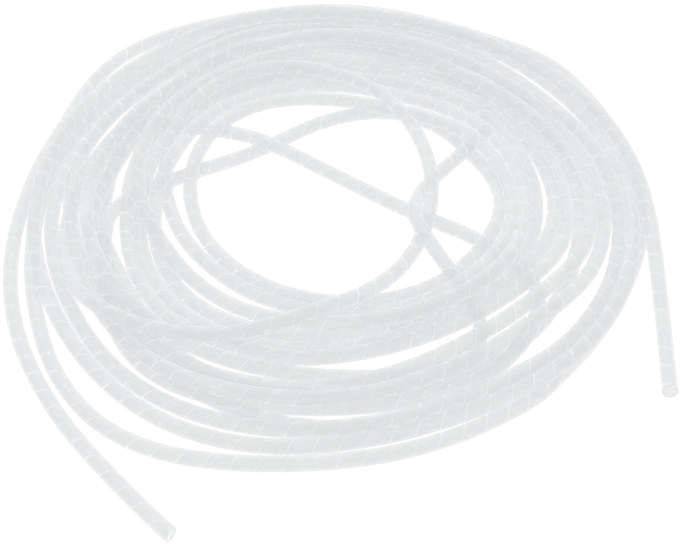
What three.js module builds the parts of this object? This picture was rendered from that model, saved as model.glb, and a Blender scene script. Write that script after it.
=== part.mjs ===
// Spiral cable wrap, 6 mm outside diameter, 10 m, tied down by nothing: a loose
// flat coil that lies on its side with both cut ends sticking out.
// Units are millimetres, +Z up, the floor is z = 0.
import * as THREE from 'three';

// ---- driving dimensions -------------------------------------------------
const WRAP_R = 3.0;          // outside radius of the wrap
const SIDES = 8;             // sides of a tube section
const PIECE = 22;            // length of one straight piece of a gently bent tube
const PIECE_TIGHT = 13;      // the same where the wrap bends tightly
const COIL_R_IN = 62;        // bore radius of the coiled turns
const COIL_PITCH = 6;        // spacing of neighbouring turns across the band
const COIL_TURNS_HIGH = [1, 1, 1, 2, 2, 2, 2, 2, 1, 1, 1]; // layers, bore to rim: sixteen turns
const LAYER_RISE = 5.4;      // rise from one layer to the next (turns nest)
const COIL_CENTRE = [1.5, 3.0];
const COIL_SEGMENTS = 56;
const SHIFT = [2.34, 3.85, 0];  // puts the middle of the base on the origin

// centre lines of the stretches that are not coiled
const TAIL_LONG = [[-58.3, -154.8, 3.0], [-72.9, -139.7, 3.0], [-86.9, -124.0, 3.0], [-100.0, -107.6, 3.0],
  [-111.4, -90.0, 3.0], [-120.8, -71.2, 3.0], [-127.7, -51.4, 3.0], [-131.7, -30.8, 3.0], [-133.1, -9.9, 3.0],
  [-132.1, 11.1, 3.0], [-129.0, 31.9, 3.0], [-124.1, 52.3, 3.0], [-118.6, 72.5, 3.0], [-111.8, 92.0, 3.0],
  [-99.4, 111.3, 3.0], [-84.0, 124.0, 3.0], [-65.7, 133.1, 3.0], [-45.9, 139.8, 3.0], [-25.5, 144.6, 3.0],
  [-4.6, 146.5, 3.0], [16.2, 144.5, 3.0], [36.3, 138.9, 3.0], [55.6, 130.6, 3.0], [74.2, 121.0, 3.0],
  [91.8, 109.7, 3.0], [105.5, 94.4, 3.0], [114.9, 75.7, 3.0], [122.1, 56.0, 3.0]];
const TURN_FRONT = [[-25.9, -125.8, 3.0], [-46.9, -124.2, 3.0], [-67.2, -119.1, 3.0], [-87.6, -107.1, 3.0],
  [-101.4, -91.4, 3.0], [-111.3, -72.9, 3.0], [-118.0, -53.0, 3.0]];
const STRAND_A = [[-35.6, 45.6, 10.2], [-22.6, 37.1, 8.3], [-9.6, 29.6, 6.5], [3.4, 21.9, 4.8],
  [18.9, 12.2, 3.5], [31.8, 4.1, 3.0], [44.8, -3.6, 3.0], [57.2, -11.7, 3.0]];
const STRAND_B = [[-43.2, 38.5, 3.0], [-32.9, 44.7, 3.0], [-23.2, 51.7, 3.0], [-13.6, 58.6, 3.0]];
const STRAND_C = [[-34.7, 90.9, 14.7], [-23.0, 93.7, 14.7], [-11.2, 92.4, 14.6], [-0.1, 87.6, 14.7],
  [9.7, 80.3, 14.6], [18.1, 71.2, 14.0], [25.0, 60.7, 14.4], [30.6, 49.4, 14.9], [35.0, 37.4, 15.4],
  [38.1, 25.0, 15.6], [39.8, 12.6, 14.8], [39.1, 0.5, 11.7], [36.2, -11.0, 8.5], [32.7, -19.4, 7.3],
  [26.7, -30.0, 7.5], [19.5, -39.7, 8.7], [11.1, -48.3, 10.6], [1.8, -55.8, 12.9], [-8.3, -62.4, 14.6],
  [-19.2, -67.9, 15.4], [-30.8, -72.1, 15.5], [-42.9, -74.5, 15.5], [-55.2, -74.9, 15.7], [-67.4, -73.2, 16.1],
  [-79.0, -69.0, 16.2], [-89.5, -62.5, 15.9]];
const STRAND_D = [[51.3, 32.8, 8.6], [45.6, 26.1, 8.4], [40.1, 19.3, 7.9], [35.3, 12.3, 8.5],
  [32.2, 4.9, 10.5], [31.0, -5.5, 13.4], [32.2, -13.1, 14.8], [35.1, -20.5, 14.4], [39.0, -27.4, 12.4],
  [43.4, -34.0, 10.0]];
const TAIL_SHORT = [[123.1, 40.7, 9.4], [126.6, 23.4, 9.4], [128.0, 8.7, 9.4], [128.4, -9.1, 9.4],
  [128.2, -23.9, 9.3], [127.5, -41.8, 6.3], [126.5, -59.9, 3.3], [125.4, -74.9, 3.0], [124.0, -93.0, 3.0]];

const group = new THREE.Group();

function wrapMaterial() {
  return new THREE.MeshStandardMaterial({ color: 0xe4e7e8, roughness: 0.38, metalness: 0 });
}

function add(name, geometry) {
  geometry.translate(SHIFT[0], SHIFT[1], SHIFT[2]);
  const mesh = new THREE.Mesh(geometry, wrapMaterial());
  mesh.name = name;
  group.add(mesh);
}

// a plain tube along a centre line
function tube(points, piece) {
  const curve = new THREE.CatmullRomCurve3(points.map((p) => new THREE.Vector3(...p)), false, 'centripetal');
  const shape = new THREE.Shape();
  for (let i = 0; i < SIDES; i++) {
    const a = (2 * Math.PI * (i + 0.5)) / SIDES;
    const x = WRAP_R * Math.cos(a), y = WRAP_R * Math.sin(a);
    if (i === 0) shape.moveTo(x, y); else shape.lineTo(x, y);
  }
  shape.closePath();
  return new THREE.ExtrudeGeometry(shape, {
    steps: Math.max(2, Math.round(curve.getLength() / piece)), bevelEnabled: false, extrudePath: curve,
  });
}

// the coiled turns: one turned ring, each turn a faceted bead on the section
function coil() {
  const h = WRAP_R * Math.tan(Math.PI / 8);       // half of a flat facet
  const n = COIL_TURNS_HIGH.length;
  const r0 = COIL_R_IN + WRAP_R;
  const top = (k) => 2 * WRAP_R + (COIL_TURNS_HIGH[k] - 1) * LAYER_RISE;
  const pts = [];
  // underside, bore to rim: flat facets on the floor
  for (let k = 0; k < n; k++) {
    const c = r0 + k * COIL_PITCH;
    pts.push([c - h, 0], [c + h, 0]);
    if (k < n - 1) pts.push([c + WRAP_R, 1.9]);
  }
  // rim
  const beads = (k) => Array.from({ length: COIL_TURNS_HIGH[k] }, (_, i) => WRAP_R + i * LAYER_RISE);
  const rim = beads(n - 1), rr = r0 + (n - 1) * COIL_PITCH;
  rim.forEach((z, i) => {
    pts.push([rr + WRAP_R, z - h], [rr + WRAP_R, z + h]);
    if (i < rim.length - 1) pts.push([rr + 1.9, z + LAYER_RISE / 2]);
  });
  // top, rim to bore
  for (let k = n - 1; k >= 0; k--) {
    const c = r0 + k * COIL_PITCH;
    pts.push([c + h, top(k)], [c - h, top(k)]);
    if (k > 0) {
      const lo = Math.min(top(k), top(k - 1));
      pts.push([c - WRAP_R, lo - 1.9]);
    }
  }
  // bore
  const bore = beads(0).reverse();
  bore.forEach((z, i) => {
    pts.push([r0 - WRAP_R, z + h], [r0 - WRAP_R, z - h]);
    if (i < bore.length - 1) pts.push([r0 - 1.9, z - LAYER_RISE / 2]);
  });
  pts.push(pts[0]);
  // LatheGeometry turns about Y; the profile runs so that faces point outward
  const g = new THREE.LatheGeometry(pts.map(([r, z]) => new THREE.Vector2(r, z)), COIL_SEGMENTS);
  g.rotateX(Math.PI / 2);
  g.translate(COIL_CENTRE[0], COIL_CENTRE[1], 0);
  return g;
}

add('coil', coil());
add('tail_long', tube(TAIL_LONG, PIECE));
add('turn_front', tube(TURN_FRONT, PIECE));
add('tail_short', tube(TAIL_SHORT, PIECE));
add('strand_a', tube(STRAND_A, PIECE));
add('strand_b', tube(STRAND_B, PIECE));
add('strand_c', tube(STRAND_C, PIECE_TIGHT));
add('strand_d', tube(STRAND_D, PIECE_TIGHT * 0.8));

export default group;
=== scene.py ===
import bpy
import math
import numpy as np
from mathutils import Matrix, Vector


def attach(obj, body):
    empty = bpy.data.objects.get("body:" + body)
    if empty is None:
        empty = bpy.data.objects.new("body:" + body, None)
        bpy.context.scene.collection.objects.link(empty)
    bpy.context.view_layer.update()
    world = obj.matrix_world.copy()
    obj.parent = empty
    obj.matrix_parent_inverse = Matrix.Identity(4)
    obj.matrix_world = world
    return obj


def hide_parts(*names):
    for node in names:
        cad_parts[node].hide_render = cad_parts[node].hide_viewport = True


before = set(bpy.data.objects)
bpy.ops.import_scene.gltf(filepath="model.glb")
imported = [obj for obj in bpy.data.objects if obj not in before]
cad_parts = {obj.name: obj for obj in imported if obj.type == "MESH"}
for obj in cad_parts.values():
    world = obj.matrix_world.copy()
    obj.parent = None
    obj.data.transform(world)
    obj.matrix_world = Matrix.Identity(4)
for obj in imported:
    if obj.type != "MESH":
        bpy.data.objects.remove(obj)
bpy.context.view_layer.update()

# ---- sizes, metres ------------------------------------------------------
R_OUT = 0.0030        # outside radius of the wrap
WALL = 0.00082        # wall thickness
PITCH = 0.0094        # one turn of the helical slit
SLIT = 0.00030        # width of the slit along the wrap
STEPS = 22            # facets round one turn of the strip
CUT_SLANT = 0.26      # slant of the cut at the long free end

# ---- camera -------------------------------------------------------------
LENS = 78.46
CAM_AT = (0.00321, -0.44095, 0.43160)
CAM_TARGET = (0.00321, -0.02415, 0.0)

# ---- look ---------------------------------------------------------------
KEY, FILL, WORLD = 2.6, 0.1, 0.82
FLOOR, FLOOR_GLOW = 0.20, 0.86
BASE_LO, BASE_HI = (0.312, 0.317, 0.319), (0.340, 0.345, 0.347)
ALPHA_FACE, ALPHA_EDGE, ALPHA_INNER, ALPHA_SIDE = 0.50, 0.92, 0.25, 0.38
ALPHA_CUT, RIM_POWER = 0.85, 4.0
# emission strengths of the plastic: painted glow of the wall, and a brighter painted glow at the strip's edges along
# the slits
WALL_PAINTED_GLOW, SIDE_PAINTED_GLOW = 0.455, 0.64

# ---- route of the wrap, tenths of a millimetre, from the long free end to the short one
ROUTE_TENTHS = [
    (-543, -1526, 30), (-628, -1441, 30), (-710, -1354, 30), (-790, -1265, 30), (-869, -1174, 30), (-945, -1081, 30),
    (-1015, -984, 30), (-1078, -882, 30), (-1136, -777, 30), (-1187, -668, 30), (-1229, -556, 30), (-1262, -441, 30),
    (-1286, -323, 30), (-1301, -204, 30), (-1307, -84, 30), (-1306, 36, 30), (-1296, 155, 30), (-1282, 274, 30),
    (-1261, 393, 30), (-1232, 509, 30), (-1198, 624, 30), (-1168, 740, 30), (-1134, 855, 30), (-1091, 967, 30),
    (-1033, 1072, 30), (-958, 1166, 30), (-868, 1244, 30), (-766, 1308, 30), (-658, 1359, 30), (-545, 1401, 30),
    (-431, 1437, 30), (-315, 1467, 30), (-197, 1490, 30), (-78, 1502, 30), (42, 1502, 30), (161, 1489, 30),
    (279, 1462, 30), (393, 1425, 30), (503, 1379, 30), (612, 1328, 30), (718, 1273, 30), (823, 1215, 30),
    (925, 1151, 30), (1014, 1071, 30), (1084, 974, 30), (1140, 868, 30), (1187, 757, 30), (1228, 644, 30),
    (1262, 529, 30), (1287, 412, 30), (1300, 293, 30), (1302, 173, 30), (1286, 54, 30), (1270, -65, 30),
    (1237, -180, 30), (1193, -292, 30), (1142, -400, 30), (1085, -506, 30), (1020, -606, 30), (949, -703, 30),
    (871, -794, 30), (791, -884, 30), (697, -958, 30), (595, -1021, 30), (489, -1077, 30), (378, -1124, 30),
    (264, -1162, 30), (148, -1189, 30), (29, -1207, 30), (-91, -1217, 30), (-211, -1220, 30), (-330, -1216, 30),
    (-450, -1203, 30), (-567, -1180, 30), (-681, -1141, 30), (-786, -1084, 30), (-880, -1009, 30), (-960, -919, 30),
    (-1026, -820, 30), (-1080, -713, 30), (-1123, -601, 30), (-1159, -486, 30), (-1188, -370, 30), (-1212, -252, 30),
    (-1224, -133, 30), (-1232, -13, 30), (-1232, 107, 30), (-1225, 227, 30), (-1208, 345, 30), (-1180, 462, 30),
    (-1140, 575, 30), (-1091, 685, 30), (-1033, 790, 30), (-967, 890, 30), (-893, 985, 30), (-813, 1074, 30),
    (-725, 1155, 30), (-629, 1226, 30), (-523, 1283, 30), (-410, 1324, 30), (-294, 1352, 30), (-175, 1370, 30),
    (-55, 1379, 30), (65, 1381, 30), (184, 1371, 30), (301, 1345, 30), (414, 1304, 30), (520, 1248, 30),
    (616, 1176, 30), (709, 1101, 30), (795, 1017, 30), (874, 927, 30), (948, 832, 30), (1016, 733, 30),
    (1076, 630, 30), (1125, 520, 30), (1161, 406, 30), (1183, 288, 30), (1193, 168, 30), (1193, 48, 30),
    (1180, -71, 30), (1157, -189, 30), (1120, -303, 30), (1070, -411, 30), (1009, -515, 30), (940, -613, 30),
    (862, -704, 30), (774, -785, 30), (676, -855, 30), (571, -913, 30), (461, -960, 30), (346, -997, 30),
    (231, -1028, 30), (113, -1052, 30), (-6, -1059, 30), (-126, -1047, 30), (-242, -1017, 30), (-353, -972, 30),
    (-458, -914, 30), (-555, -843, 30), (-643, -762, 30), (-720, -670, 30), (-781, -567, 30), (-831, -458, 30),
    (-879, -348, 30), (-919, -235, 30), (-946, -118, 30), (-959, 1, 30), (-962, 121, 30), (-957, 241, 30),
    (-951, 361, 30), (-936, 480, 30), (-909, 597, 30), (-862, 707, 30), (-802, 811, 30), (-731, 907, 30),
    (-652, 998, 30), (-565, 1080, 30), (-468, 1151, 30), (-361, 1205, 30), (-246, 1240, 30), (-127, 1251, 30),
    (-7, 1246, 30), (112, 1231, 30), (229, 1205, 30), (343, 1167, 30), (452, 1118, 30), (556, 1058, 30),
    (650, 983, 30), (735, 899, 30), (812, 807, 30), (877, 706, 30), (932, 600, 30), (977, 488, 30),
    (1010, 373, 30), (1030, 255, 30), (1037, 135, 30), (1030, 15, 30), (1008, -103, 30), (977, -218, 30),
    (935, -331, 30), (882, -438, 30), (816, -539, 30), (738, -630, 30), (649, -710, 30), (550, -777, 30),
    (443, -832, 30), (327, -863, 30), (210, -888, 30), (91, -905, 30), (-28, -911, 30), (-148, -904, 30),
    (-266, -883, 30), (-380, -844, 30), (-486, -788, 31), (-580, -715, 32), (-662, -627, 37), (-730, -529, 44),
    (-788, -424, 55), (-844, -319, 69), (-896, -212, 81), (-943, -102, 88), (-978, 13, 86), (-1000, 131, 81),
    (-1006, 251, 79), (-994, 369, 86), (-954, 482, 92), (-881, 575, 80), (-782, 629, 43), (-664, 632, 30),
    (-549, 601, 41), (-441, 553, 63), (-339, 495, 85), (-237, 432, 86), (-134, 371, 75), (-31, 311, 60),
    (71, 251, 46), (173, 187, 37), (273, 121, 32), (375, 58, 30), (479, -2, 30), (580, -67, 30),
    (672, -144, 32), (748, -236, 39), (797, -344, 54), (809, -461, 75), (784, -577, 89), (728, -682, 83),
    (650, -772, 68), (554, -842, 51), (447, -893, 38), (331, -922, 32), (213, -947, 35), (96, -970, 44),
    (-22, -986, 57), (-141, -995, 72), (-260, -991, 86), (-378, -972, 88), (-491, -932, 78), (-595, -874, 63),
    (-687, -799, 48), (-765, -708, 39), (-826, -605, 42), (-867, -495, 61), (-893, -382, 93), (-906, -267, 126),
    (-913, -149, 144), (-911, -32, 120), (-888, 76, 75), (-827, 173, 40), (-737, 251, 30), (-634, 312, 30),
    (-527, 365, 30), (-419, 418, 30), (-316, 479, 30), (-218, 548, 30), (-121, 619, 30), (-17, 678, 30),
    (96, 718, 30), (215, 732, 30), (333, 712, 30), (438, 655, 30), (523, 571, 30), (590, 472, 30),
    (646, 367, 39), (686, 255, 54), (703, 137, 72), (693, 19, 87), (653, -94, 89), (588, -193, 72),
    (505, -275, 48), (407, -342, 33), (298, -393, 30), (183, -424, 30), (63, -433, 30), (-56, -421, 30),
    (-171, -387, 30), (-278, -333, 30), (-374, -261, 30), (-456, -174, 32), (-524, -75, 38), (-571, 34, 49),
    (-597, 150, 64), (-599, 269, 81), (-577, 386, 96), (-530, 495, 108), (-457, 590, 114), (-364, 665, 113),
    (-256, 716, 107), (-140, 742, 100), (-20, 746, 94), (99, 732, 89), (215, 703, 84), (326, 660, 92),
    (429, 600, 108), (522, 526, 127), (602, 438, 141), (666, 337, 142), (712, 227, 139), (737, 109, 136),
    (738, -10, 136), (715, -128, 137), (667, -237, 136), (594, -333, 130), (502, -407, 115), (397, -457, 86),
    (284, -486, 58), (166, -498, 40), (47, -496, 33), (-72, -479, 30), (-187, -445, 30), (-295, -393, 30),
    (-394, -325, 30), (-482, -244, 31), (-560, -153, 34), (-623, -52, 42), (-671, 57, 57), (-700, 172, 78),
    (-709, 289, 102), (-699, 406, 124), (-671, 522, 141), (-627, 633, 147), (-566, 736, 143), (-491, 829, 133),
    (-400, 906, 119), (-294, 959, 107), (-176, 977, 97), (-59, 954, 95), (47, 899, 104), (139, 824, 120),
    (216, 734, 136), (280, 633, 146), (332, 525, 150), (373, 412, 152), (401, 295, 148), (414, 176, 139),
    (409, 58, 118), (385, -57, 97), (343, -168, 82), (284, -273, 79), (211, -367, 87), (127, -451, 107),
    (35, -524, 131), (-65, -587, 150), (-172, -642, 155), (-284, -682, 155), (-402, -707, 154), (-522, -711, 155),
    (-640, -697, 162), (-754, -658, 163), (-857, -597, 160), (-946, -518, 150), (-1012, -420, 128), (-1055, -311, 107),
    (-1079, -194, 94), (-1083, -74, 95), (-1071, 45, 107), (-1045, 160, 124), (-1007, 273, 139), (-960, 383, 142),
    (-908, 492, 140), (-856, 599, 133), (-799, 703, 114), (-732, 800, 91), (-660, 893, 68), (-579, 980, 50),
    (-489, 1057, 37), (-388, 1121, 33), (-277, 1167, 37), (-161, 1192, 54), (-43, 1199, 74), (75, 1190, 94),
    (190, 1161, 106), (298, 1109, 107), (400, 1046, 105), (493, 970, 108), (579, 888, 124), (660, 802, 147),
    (743, 716, 151), (825, 629, 145), (902, 537, 133), (969, 439, 117), (1024, 334, 102), (1060, 220, 92),
    (1074, 101, 90), (1065, -18, 95), (1037, -134, 105), (991, -244, 117), (929, -346, 129), (852, -438, 138),
    (766, -521, 136), (673, -596, 124), (574, -662, 109), (472, -724, 97), (367, -782, 91), (259, -833, 89),
    (146, -875, 89), (30, -903, 91), (-90, -915, 92), (-209, -910, 90), (-327, -888, 87), (-441, -850, 86),
    (-548, -797, 88), (-647, -730, 95), (-736, -650, 106), (-813, -559, 122), (-877, -460, 140), (-930, -352, 152),
    (-965, -238, 156), (-972, -118, 155), (-969, 1, 145), (-956, 119, 129), (-933, 236, 115), (-901, 352, 109),
    (-859, 464, 106), (-808, 573, 104), (-748, 676, 98), (-677, 772, 88), (-596, 860, 75), (-506, 938, 61),
    (-409, 1007, 48), (-302, 1060, 38), (-187, 1095, 33), (-68, 1108, 31), (51, 1100, 30), (169, 1079, 30),
    (285, 1047, 33), (395, 1001, 40), (499, 941, 51), (594, 871, 69), (681, 791, 89), (762, 703, 86),
    (830, 605, 74), (888, 500, 61), (932, 390, 48), (960, 273, 42), (972, 154, 43), (970, 34, 51),
    (952, -83, 67), (912, -194, 89), (852, -296, 107), (774, -387, 115), (684, -465, 107), (584, -529, 91),
    (478, -581, 68), (368, -626, 53), (255, -667, 48), (143, -707, 54), (28, -741, 66), (-89, -763, 80),
    (-208, -763, 90), (-324, -731, 97), (-431, -680, 87), (-533, -619, 68), (-623, -542, 55), (-700, -450, 51),
    (-762, -347, 56), (-806, -237, 69), (-832, -122, 88), (-843, -4, 106), (-846, 116, 116), (-841, 236, 115),
    (-822, 354, 110), (-788, 469, 103), (-738, 577, 94), (-676, 679, 81), (-602, 772, 64), (-518, 856, 47),
    (-424, 929, 35), (-321, 990, 30), (-208, 1030, 30), (-89, 1047, 30), (31, 1043, 30), (149, 1022, 30),
    (265, 992, 30), (375, 945, 31), (478, 884, 41), (572, 813, 60), (659, 732, 81), (736, 642, 92),
    (803, 542, 93), (857, 435, 89), (897, 322, 83), (921, 204, 81), (925, 85, 84), (908, -34, 91),
    (870, -147, 98), (811, -251, 104), (734, -343, 106), (643, -421, 103), (543, -485, 91), (436, -536, 68),
    (327, -580, 46), (215, -621, 32), (102, -660, 30), (-16, -678, 30), (-136, -676, 30), (-255, -658, 30),
    (-370, -624, 30), (-476, -569, 30), (-571, -496, 31), (-652, -408, 33), (-716, -307, 37), (-762, -196, 46),
    (-788, -80, 59), (-797, 39, 74), (-794, 158, 87), (-780, 277, 92), (-753, 394, 91), (-710, 506, 88),
    (-652, 610, 88), (-582, 707, 83), (-502, 796, 74), (-410, 872, 61), (-307, 932, 49), (-195, 972, 38),
    (-76, 987, 32), (44, 981, 31), (162, 959, 34), (276, 924, 41), (385, 874, 52), (485, 810, 66),
    (576, 734, 83), (657, 647, 94), (728, 550, 96), (784, 444, 89), (825, 332, 78), (848, 215, 69),
    (851, 95, 67), (836, -24, 74), (804, -138, 88), (745, -240, 110), (673, -332, 137), (591, -419, 148),
    (498, -494, 141), (393, -548, 119), (280, -581, 97), (164, -602, 76), (47, -616, 53), (-71, -620, 36),
    (-190, -607, 30), (-306, -577, 30), (-416, -528, 30), (-515, -460, 30), (-599, -375, 34), (-664, -275, 43),
    (-707, -164, 61), (-728, -49, 87), (-728, 67, 117), (-710, 183, 142), (-676, 297, 152), (-640, 411, 140),
    (-600, 522, 122), (-546, 626, 98), (-478, 722, 72), (-395, 806, 50), (-296, 870, 35), (-183, 910, 31),
    (-64, 924, 30), (56, 916, 30), (173, 892, 30), (286, 852, 34), (392, 797, 45), (486, 725, 67),
    (568, 642, 92), (639, 548, 117), (697, 445, 133), (743, 335, 145), (775, 220, 154), (792, 101, 161),
    (790, -19, 166), (768, -137, 171), (733, -251, 181), (680, -357, 195), (604, -450, 197), (510, -523, 191),
    (402, -572, 174), (288, -603, 154), (170, -616, 135), (52, -613, 114), (-64, -594, 90), (-178, -562, 69),
    (-288, -518, 53), (-393, -462, 47), (-491, -393, 54), (-580, -314, 72), (-654, -224, 99), (-718, -127, 129),
    (-767, -19, 148), (-799, 96, 160), (-812, 214, 167), (-808, 334, 168), (-785, 452, 164), (-745, 564, 156),
    (-690, 671, 145), (-623, 769, 133), (-545, 860, 121), (-457, 941, 111), (-360, 1010, 103), (-253, 1064, 98),
    (-139, 1102, 94), (-21, 1125, 89), (97, 1134, 74), (215, 1127, 52), (331, 1101, 40), (442, 1057, 34),
    (543, 992, 31), (626, 906, 30), (680, 799, 30), (694, 681, 31), (668, 566, 51), (614, 464, 83),
    (540, 370, 86), (462, 279, 83), (392, 181, 85), (347, 73, 106), (337, -43, 134), (370, -157, 142),
    (428, -258, 117), (493, -351, 78), (550, -450, 42), (581, -564, 30), (553, -679, 30), (464, -757, 30),
    (352, -797, 30), (233, -815, 30), (113, -819, 30), (-7, -814, 30), (-126, -803, 33), (-245, -785, 39),
    (-361, -761, 53), (-474, -729, 74), (-582, -685, 103), (-682, -627, 136), (-772, -554, 167), (-850, -466, 192),
    (-911, -365, 209), (-955, -254, 216), (-982, -137, 214), (-993, -18, 206), (-989, 102, 197), (-972, 220, 190),
    (-940, 336, 187), (-894, 447, 189), (-840, 554, 187), (-786, 659, 171), (-726, 762, 151), (-662, 861, 130),
    (-591, 956, 112), (-508, 1041, 98), (-410, 1109, 92), (-298, 1151, 93), (-182, 1179, 110), (-64, 1178, 126),
    (54, 1159, 141), (170, 1131, 153), (283, 1094, 161), (394, 1049, 164), (502, 996, 162), (606, 936, 153),
    (705, 870, 138), (798, 798, 120), (884, 717, 100), (961, 627, 79), (1027, 528, 60), (1079, 422, 44),
    (1114, 308, 34), (1132, 189, 30), (1132, 69, 33), (1117, -50, 41), (1087, -165, 56), (1044, -275, 74),
    (988, -379, 97), (921, -475, 119), (842, -564, 137), (753, -643, 147), (656, -711, 127), (553, -771, 109),
    (447, -825, 97), (338, -875, 92), (226, -919, 93), (113, -956, 102), (-3, -984, 116), (-121, -1000, 131),
    (-240, -1000, 145), (-358, -980, 149), (-470, -938, 140), (-573, -879, 125), (-668, -806, 111), (-752, -722, 101),
    (-830, -630, 99), (-896, -530, 102), (-948, -422, 110), (-995, -313, 120), (-1031, -199, 134), (-1058, -83, 150),
    (-1073, 35, 166), (-1073, 154, 175), (-1056, 273, 178), (-1024, 388, 176), (-979, 499, 172), (-922, 605, 169),
    (-855, 705, 167), (-781, 798, 168), (-699, 886, 171), (-610, 967, 171), (-517, 1043, 166), (-422, 1115, 155),
    (-325, 1183, 139), (-222, 1238, 110), (-114, 1281, 80), (-1, 1307, 52), (118, 1314, 38), (237, 1298, 31),
    (351, 1263, 30), (459, 1210, 30), (559, 1144, 31), (652, 1068, 33), (737, 984, 38), (817, 895, 46),
    (894, 803, 55), (970, 711, 66), (1042, 616, 78), (1096, 509, 85), (1138, 397, 88), (1167, 280, 91),
    (1182, 161, 92), (1184, 42, 92), (1173, -78, 93), (1153, -196, 92), (1121, -312, 91), (1076, -423, 90),
    (1019, -529, 89), (951, -627, 89), (871, -717, 89), (779, -793, 90), (679, -859, 92), (573, -916, 93),
    (465, -968, 92), (355, -1015, 89), (241, -1054, 87), (125, -1082, 84), (6, -1097, 79), (-114, -1097, 70),
    (-232, -1081, 58), (-348, -1052, 47), (-461, -1012, 38), (-569, -962, 33), (-672, -900, 31), (-766, -825, 30),
    (-849, -739, 30), (-921, -643, 30), (-984, -540, 30), (-1038, -434, 30), (-1086, -324, 30), (-1124, -210, 30),
    (-1152, -93, 30), (-1167, 26, 30), (-1170, 146, 30), (-1159, 265, 30), (-1136, 383, 30), (-1103, 498, 30),
    (-1060, 610, 30), (-1005, 717, 30), (-942, 819, 30), (-871, 916, 32), (-794, 1007, 37), (-709, 1091, 45),
    (-616, 1167, 54), (-516, 1232, 65), (-408, 1284, 75), (-294, 1319, 84), (-177, 1342, 91), (-57, 1350, 95),
    (63, 1346, 96), (182, 1332, 96), (300, 1309, 96), (415, 1277, 95), (528, 1236, 93), (636, 1185, 86),
    (739, 1125, 77), (836, 1055, 65), (926, 976, 52), (1006, 888, 42), (1076, 791, 35), (1135, 686, 31),
    (1180, 575, 32), (1213, 460, 37), (1234, 342, 45), (1244, 223, 55), (1244, 103, 65), (1237, -16, 76),
    (1224, -135, 84), (1201, -253, 89), (1165, -367, 91), (1117, -477, 91), (1057, -581, 91), (988, -679, 91),
    (906, -766, 91), (813, -842, 88), (713, -908, 80), (607, -963, 69), (497, -1009, 57), (384, -1047, 45),
    (269, -1081, 37), (152, -1107, 32), (34, -1128, 30), (-85, -1141, 30), (-205, -1142, 30), (-325, -1129, 30),
    (-441, -1101, 30), (-553, -1057, 30), (-658, -999, 30), (-754, -927, 30), (-842, -845, 31), (-920, -755, 34),
    (-991, -658, 40), (-1053, -556, 48), (-1107, -449, 59), (-1152, -339, 72), (-1188, -225, 83), (-1213, -108, 90),
    (-1227, 11, 92), (-1231, 131, 92), (-1226, 251, 91), (-1210, 370, 90), (-1184, 487, 88), (-1147, 601, 87),
    (-1099, 710, 87), (-1039, 814, 87), (-970, 912, 89), (-891, 1003, 92), (-803, 1084, 98), (-707, 1155, 106),
    (-603, 1214, 116), (-493, 1260, 127), (-378, 1293, 137), (-260, 1313, 145), (-140, 1322, 150), (-20, 1321, 152),
    (99, 1311, 151), (218, 1292, 150), (335, 1265, 147), (449, 1229, 143), (561, 1185, 140), (669, 1134, 134),
    (773, 1076, 126), (872, 1009, 117), (964, 932, 107), (1047, 846, 98), (1119, 751, 92), (1179, 646, 89),
    (1226, 536, 88), (1260, 421, 90), (1284, 304, 91), (1299, 185, 91), (1306, 65, 87), (1308, -55, 78),
    (1306, -174, 66), (1302, -293, 53), (1297, -413, 41), (1291, -532, 33), (1282, -652, 31), (1273, -771, 30),
    (1264, -891, 30),
]
ROUTE = [(x * 1e-4, y * 1e-4, z * 1e-4) for x, y, z in ROUTE_TENTHS]


def camera():
    cam = bpy.data.cameras.new("camera")
    cam.sensor_width = 36.0
    cam.lens = LENS
    cam.clip_start = 0.01
    cam.clip_end = 20.0
    ob = bpy.data.objects.new("camera", cam)
    bpy.context.scene.collection.objects.link(ob)
    at, to = Vector(CAM_AT), Vector(CAM_TARGET)
    ob.matrix_world = Matrix.Translation(at) @ (to - at).to_track_quat("-Z", "Y").to_matrix().to_4x4()
    bpy.context.scene.camera = ob


camera()


# ---- centre line --------------------------------------------------------
def centre_line(points, step):
    """A C2 curve through the points, sampled every step metres; returns points and length."""
    p = np.array(points, float)
    n = len(p)
    h = np.linalg.norm(np.diff(p, axis=0), axis=1)
    t = np.r_[0.0, np.cumsum(h)]
    # natural cubic spline, solved as one tridiagonal system
    low, diag, up, rhs = np.zeros(n), np.ones(n), np.zeros(n), np.zeros((n, 3))
    for i in range(1, n - 1):
        low[i], diag[i], up[i] = h[i - 1], 2 * (h[i - 1] + h[i]), h[i]
        rhs[i] = 6 * ((p[i + 1] - p[i]) / h[i] - (p[i] - p[i - 1]) / h[i - 1])
    for i in range(1, n):
        w = low[i] / diag[i - 1]
        diag[i] -= w * up[i - 1]
        rhs[i] -= w * rhs[i - 1]
    m = np.zeros((n, 3))
    m[-1] = rhs[-1] / diag[-1]
    for i in range(n - 2, -1, -1):
        m[i] = (rhs[i] - up[i] * m[i + 1]) / diag[i]

    def at(u):
        k = np.clip(np.searchsorted(t, u, side="right") - 1, 0, n - 2)
        a, b = t[k + 1] - u, u - t[k]
        hk = h[k]
        return ((m[k] * (a ** 3)[:, None] + m[k + 1] * (b ** 3)[:, None]) / (6 * hk)[:, None]
                + (p[k] / hk[:, None] - m[k] * (hk / 6)[:, None]) * a[:, None]
                + (p[k + 1] / hk[:, None] - m[k + 1] * (hk / 6)[:, None]) * b[:, None])

    u = np.linspace(0.0, t[-1], int(t[-1] / 0.0005))
    q = at(u)
    s = np.r_[0.0, np.cumsum(np.linalg.norm(np.diff(q, axis=0), axis=1))]
    count = int(round(s[-1] / step)) + 1
    return at(np.interp(np.linspace(0.0, s[-1], count), s, u)), s[-1]


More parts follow.
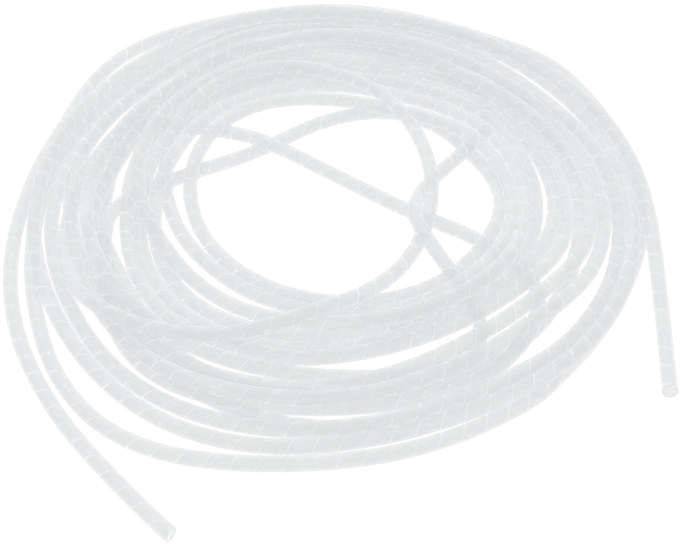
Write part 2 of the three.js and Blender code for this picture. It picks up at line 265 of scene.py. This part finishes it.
def turning_frames(c):
    """Tangents and a normal that doesn't twist about the curve (double reflection)."""
    t = np.gradient(c, axis=0)
    t /= np.linalg.norm(t, axis=1)[:, None]
    r = np.zeros_like(c)
    ref = np.array([0.0, 0.0, 1.0])
    r[0] = ref - t[0] * ref.dot(t[0])
    r[0] /= np.linalg.norm(r[0])
    for i in range(len(c) - 1):
        v1 = c[i + 1] - c[i]
        c1 = v1.dot(v1)
        rl = r[i] - (2 / c1) * v1.dot(r[i]) * v1
        tl = t[i] - (2 / c1) * v1.dot(t[i]) * v1
        v2 = t[i + 1] - tl
        c2 = max(v2.dot(v2), 1e-18)
        r[i + 1] = rl - (2 / c2) * v2.dot(rl) * v2
        r[i + 1] /= np.linalg.norm(r[i + 1])
    return t, r, np.cross(t, r)


LINE_STEP = 0.001
line, length = centre_line(ROUTE, LINE_STEP)
line[:, 2] = np.maximum(line[:, 2], R_OUT)
tan, nor, bin_ = turning_frames(line)


def strip():
    """The wrap itself: one long helical strip of rectangular section with open slits between its turns."""
    grid = np.linspace(0.0, length, len(line))
    width = PITCH - SLIT
    first = -int(math.floor(width / PITCH * STEPS))
    last = int(math.ceil(length / PITCH * STEPS))
    k = np.arange(first, last + 1)
    ang = -2 * math.pi * k / STEPS - math.pi / 2
    s0 = k * PITCH / STEPS
    # the slit's width wavers a little along the wrap, never the same twice
    wob = 0.00007 * np.sin(s0 * 41.0) + 0.00006 * np.sin(s0 * 97.0 + 1.3) + 0.00005 * np.sin(s0 * 233.0 + 0.4)
    # the long free end is cut at a slant, its lower left side longest; the other end nearly square
    low = CUT_SLANT * R_OUT * (1 + np.sin(ang))
    high = length - 0.15 * R_OUT * (1 + np.cos(ang))
    a, b = np.clip(s0, low, high), np.clip(s0 + width + wob, low, high)
    keep = b - a > 1e-5
    ang, a, b, low, high = ang[keep], a[keep], b[keep], low[keep], high[keep]

    def ring(s, r):
        cols = [np.interp(s, grid, v) for v in (*line.T, *nor.T, *bin_.T)]
        c, n_, b_ = (np.stack(cols[i:i + 3], 1) for i in (0, 3, 6))
        return c + r * (np.cos(ang)[:, None] * n_ + np.sin(ang)[:, None] * b_)

    oa, ob_, ib, ia = ring(a, R_OUT), ring(b, R_OUT), ring(b, R_OUT - WALL), ring(a, R_OUT - WALL)
    n = len(a)
    co = np.empty((n, 4, 3))
    co[:, 0], co[:, 1], co[:, 2], co[:, 3] = oa, ob_, ib, ia
    i = np.arange(n - 1) * 4
    quads = []
    for e in range(4):
        f = (e + 1) % 4
        quads.append(np.stack([i + e, i + f, i + 4 + f, i + 4 + e], 1))
    quads = np.concatenate(quads)
    caps = np.array([[3, 2, 1, 0], [4 * n - 4, 4 * n - 3, 4 * n - 2, 4 * n - 1]])
    faces = np.concatenate([quads, caps])
    me = bpy.data.meshes.new("wrap")
    me.vertices.add(4 * n)
    me.vertices.foreach_set("co", co.reshape(-1))
    me.loops.add(faces.size)
    me.loops.foreach_set("vertex_index", faces.reshape(-1).astype(np.int32))
    me.polygons.add(len(faces))
    me.polygons.foreach_set("loop_start", np.arange(0, faces.size, 4, dtype=np.int32))
    me.polygons.foreach_set("use_smooth", np.ones(len(faces), bool))
    me.update(calc_edges=True)
    # the strip's corners are sharp, its round surfaces smooth
    sharp = np.zeros(len(me.edges), bool)
    ev = np.empty(len(me.edges) * 2, np.int32)
    me.edges.foreach_get("vertices", ev)
    ev = ev.reshape(-1, 2)
    sharp[(ev[:, 0] % 4) == (ev[:, 1] % 4)] = True
    att = me.attributes.new("sharp_edge", "BOOLEAN", "EDGE")
    att.data.foreach_set("value", sharp)
    # distance along the wrap and place across the wall, for the material
    along = me.attributes.new("along", "FLOAT", "POINT")
    along.data.foreach_set("value", np.stack([a, b, b, a], 1).reshape(-1).astype(np.float32))
    # the strip's two edges, where they aren't the cut ends
    side = me.attributes.new("side", "FLOAT", "FACE")
    left, right = (a > low + 1e-6).astype(float)[:-1], (b < high - 1e-6).astype(float)[:-1]
    zero = np.zeros(n - 1)
    side.data.foreach_set("value", np.concatenate([zero, right, zero, left, [0, 0]]).astype(np.float32))
    # the cut ends
    cut = me.attributes.new("cut", "FLOAT", "FACE")
    cut.data.foreach_set("value", np.concatenate([zero, 1 - right, zero, 1 - left, [1, 1]]).astype(np.float32))
    # the bore
    inner = me.attributes.new("inner", "FLOAT", "FACE")
    inner.data.foreach_set("value", np.concatenate([zero, zero, zero + 1, zero, [0, 0]]).astype(np.float32))
    me.update()
    return me


def flip_if_inside_out(me):
    """Faces look outward: the signed volume of the closed strip is positive."""
    n = len(me.polygons)
    v = np.empty(len(me.vertices) * 3)
    me.vertices.foreach_get("co", v)
    v = v.reshape(-1, 3)
    idx = np.empty(n * 4, np.int32)
    me.loops.foreach_get("vertex_index", idx)
    q = v[idx.reshape(-1, 4)]
    vol = np.einsum("ij,ij->i", q[:, 0], np.cross(q[:, 1], q[:, 2]) + np.cross(q[:, 2], q[:, 3])).sum()
    if vol < 0:
        me.flip_normals()
    return abs(vol) / 6


wrap_mesh = strip()
wrap_volume = flip_if_inside_out(wrap_mesh)
wrap = bpy.data.objects.new("wrap", wrap_mesh)
bpy.context.scene.collection.objects.link(wrap)


# ---- materials ----------------------------------------------------------
def polyethylene():
    mat = bpy.data.materials.new("natural_polyethylene")
    mat.use_nodes = True
    nt = mat.node_tree
    nt.nodes.clear()
    out = nt.nodes.new("ShaderNodeOutputMaterial")
    bsdf = nt.nodes.new("ShaderNodeBsdfPrincipled")
    bsdf.inputs["IOR"].default_value = 1.5
    bsdf.inputs["Specular IOR Level"].default_value = 0.4
    bsdf.inputs["Subsurface Weight"].default_value = 0.0
    # painted glow: the whole plastic wall emits light of its own, standing in for light carried inside the milky wall
    # and lightening the shade between the strands
    bsdf.inputs["Emission Color"].default_value = (0.985, 0.995, 1.0, 1)
    geo = nt.nodes.new("ShaderNodeTexCoord")
    # faint cloudiness of the milky plastic
    cloud = nt.nodes.new("ShaderNodeTexNoise")
    cloud.inputs["Scale"].default_value = 55.0
    cloud.inputs["Detail"].default_value = 3.0
    nt.links.new(geo.outputs["Object"], cloud.inputs["Vector"])
    ramp = nt.nodes.new("ShaderNodeMapRange")
    ramp.inputs["From Min"].default_value = 0.3
    ramp.inputs["From Max"].default_value = 0.7
    ramp.inputs["To Min"].default_value = 0.0
    ramp.inputs["To Max"].default_value = 1.0
    nt.links.new(cloud.outputs["Fac"], ramp.inputs["Value"])
    tint = nt.nodes.new("ShaderNodeMix")
    tint.data_type = "RGBA"
    tint.inputs["A"].default_value = (BASE_LO[0], BASE_LO[1], BASE_LO[2], 1)
    tint.inputs["B"].default_value = (BASE_HI[0], BASE_HI[1], BASE_HI[2], 1)
    nt.links.new(ramp.outputs["Result"], tint.inputs["Factor"])
    nt.links.new(tint.outputs["Result"], bsdf.inputs["Base Color"])
    # satin, a little uneven
    rough = nt.nodes.new("ShaderNodeMapRange")
    rough.inputs["To Min"].default_value = 0.34
    rough.inputs["To Max"].default_value = 0.46
    nt.links.new(cloud.outputs["Fac"], rough.inputs["Value"])
    nt.links.new(rough.outputs["Result"], bsdf.inputs["Roughness"])
    # fine extrusion waviness
    wave = nt.nodes.new("ShaderNodeTexNoise")
    wave.inputs["Scale"].default_value = 900.0
    wave.inputs["Detail"].default_value = 2.0
    nt.links.new(geo.outputs["Object"], wave.inputs["Vector"])
    bump = nt.nodes.new("ShaderNodeBump")
    bump.inputs["Strength"].default_value = 0.05
    bump.inputs["Distance"].default_value = 0.0004
    nt.links.new(wave.outputs["Fac"], bump.inputs["Height"])
    nt.links.new(bump.outputs["Normal"], bsdf.inputs["Normal"])
    # thin walls let light through, least where seen edge on
    lw = nt.nodes.new("ShaderNodeLayerWeight")
    lw.inputs["Blend"].default_value = 0.5
    rim = nt.nodes.new("ShaderNodeMath")
    rim.operation = "POWER"
    rim.inputs[1].default_value = RIM_POWER
    nt.links.new(lw.outputs["Facing"], rim.inputs[0])
    al = nt.nodes.new("ShaderNodeMapRange")
    al.inputs["From Min"].default_value = 0.0
    al.inputs["From Max"].default_value = 1.0
    al.inputs["To Min"].default_value = ALPHA_FACE
    al.inputs["To Max"].default_value = ALPHA_EDGE
    nt.links.new(rim.outputs["Value"], al.inputs["Value"])
    # the bore shows no outline of its own through the wall
    bo = nt.nodes.new("ShaderNodeAttribute")
    bo.attribute_name = "inner"
    bm = nt.nodes.new("ShaderNodeMix")
    bm.data_type = "FLOAT"
    bm.inputs["B"].default_value = ALPHA_INNER
    nt.links.new(bo.outputs["Fac"], bm.inputs["Factor"])
    nt.links.new(al.outputs["Result"], bm.inputs["A"])
    # the strip's edges, which stand across the slit
    sd = nt.nodes.new("ShaderNodeAttribute")
    sd.attribute_name = "side"
    am = nt.nodes.new("ShaderNodeMix")
    am.data_type = "FLOAT"
    am.inputs["B"].default_value = ALPHA_SIDE
    nt.links.new(sd.outputs["Fac"], am.inputs["Factor"])
    nt.links.new(bm.outputs["Result"], am.inputs["A"])
    ct = nt.nodes.new("ShaderNodeAttribute")
    ct.attribute_name = "cut"
    cm = nt.nodes.new("ShaderNodeMix")
    cm.data_type = "FLOAT"
    cm.inputs["B"].default_value = ALPHA_CUT
    nt.links.new(ct.outputs["Fac"], cm.inputs["Factor"])
    # painted glow: the strip's edges emit more light than the wall, so the slits look pale, standing in for light
    # piped along the wall and leaving at the edges
    painted_glow = nt.nodes.new("ShaderNodeMapRange")
    painted_glow.inputs["To Min"].default_value = WALL_PAINTED_GLOW
    painted_glow.inputs["To Max"].default_value = SIDE_PAINTED_GLOW
    nt.links.new(sd.outputs["Fac"], painted_glow.inputs["Value"])
    nt.links.new(painted_glow.outputs["Result"], bsdf.inputs["Emission Strength"])
    nt.links.new(am.outputs["Result"], cm.inputs["A"])
    clear = nt.nodes.new("ShaderNodeBsdfTransparent")
    wall = nt.nodes.new("ShaderNodeMixShader")
    nt.links.new(cm.outputs["Result"], wall.inputs["Fac"])
    nt.links.new(clear.outputs["BSDF"], wall.inputs[1])
    nt.links.new(bsdf.outputs["BSDF"], wall.inputs[2])
    nt.links.new(wall.outputs["Shader"], out.inputs["Surface"])
    mat.cycles.emission_sampling = "NONE"
    return mat


wrap.data.materials.append(polyethylene())

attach(wrap, "root")
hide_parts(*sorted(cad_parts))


# ---- stage --------------------------------------------------------------
def floor():
    me = bpy.data.meshes.new("floor")
    s = 4.0
    me.from_pydata([(-s, -s, -0.0002), (s, -s, -0.0002), (s, s, -0.0002), (-s, s, -0.0002)], [], [(0, 1, 2, 3)])
    ob = bpy.data.objects.new("floor", me)
    bpy.context.scene.collection.objects.link(ob)
    mat = bpy.data.materials.new("floor_white")
    mat.use_nodes = True
    b = mat.node_tree.nodes["Principled BSDF"]
    b.inputs["Base Color"].default_value = (FLOOR, FLOOR, FLOOR, 1)
    b.inputs["Roughness"].default_value = 0.9
    b.inputs["Specular IOR Level"].default_value = 0.1
    b.inputs["Emission Color"].default_value = (1, 1, 1, 1)
    b.inputs["Emission Strength"].default_value = FLOOR_GLOW
    ob.data.materials.append(mat)
    mat.cycles.emission_sampling = "NONE"


def light(name, at, to, size, energy, colour=(1, 1, 1)):
    d = bpy.data.lights.new(name, "AREA")
    d.shape = "SQUARE"
    d.size = size
    d.energy = energy
    d.color = colour
    ob = bpy.data.objects.new(name, d)
    bpy.context.scene.collection.objects.link(ob)
    at, to = Vector(at), Vector(to)
    ob.matrix_world = Matrix.Translation(at) @ (to - at).to_track_quat("-Z", "Y").to_matrix().to_4x4()


floor()
light("key", (-0.15, 0.70, 0.70), (0, 0, 0), 1.0, KEY)
light("fill", (0.8, -0.7, 0.9), (0, 0, 0), 1.2, FILL)

world = bpy.data.worlds.new("studio")
bpy.context.scene.world = world
world.use_nodes = True
bg = world.node_tree.nodes["Background"]
bg.inputs["Color"].default_value = (1, 1, 1, 1)
bg.inputs["Strength"].default_value = WORLD

scene = bpy.context.scene
scene.cycles.transparent_max_bounces = 14
scene.cycles.max_bounces = 2
scene.cycles.diffuse_bounces = 2
scene.cycles.transmission_bounces = 0
scene.cycles.glossy_bounces = 1
scene.view_settings.view_transform = "Standard"
scene.view_settings.look = "None"
scene.view_settings.exposure = 0.0
scene.view_settings.gamma = 1.0
